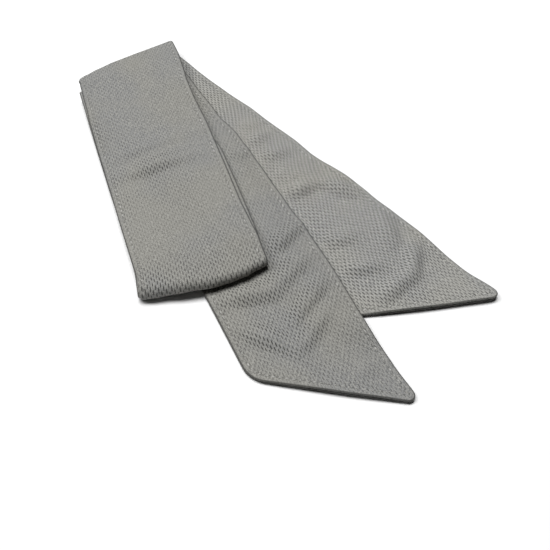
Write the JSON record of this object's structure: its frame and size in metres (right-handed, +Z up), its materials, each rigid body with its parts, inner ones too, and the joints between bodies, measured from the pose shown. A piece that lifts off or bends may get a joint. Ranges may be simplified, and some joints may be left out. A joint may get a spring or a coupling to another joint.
{
  "type": "cooling towel",
  "caption": "Long knitted strip with slanted ends, two panels sewn round the edges, lying folded on a table.",
  "frame": {"origin": "middle of the footprint, on the surface that the towel lies on", "axes": "+Z up from the table, +Y from the two free ends towards the outer fold, +X to the right of that"},
  "size_m": [0.253, 0.2708, 0.0138],
  "materials": {
    "knit": "matt grey bird's-eye mesh knit",
    "thread": "matt grey sewing thread"
  },
  "bodies": {
    "root": {"front_panel": "knit", "back_panel": "knit"}
  },
  "joints": []
}
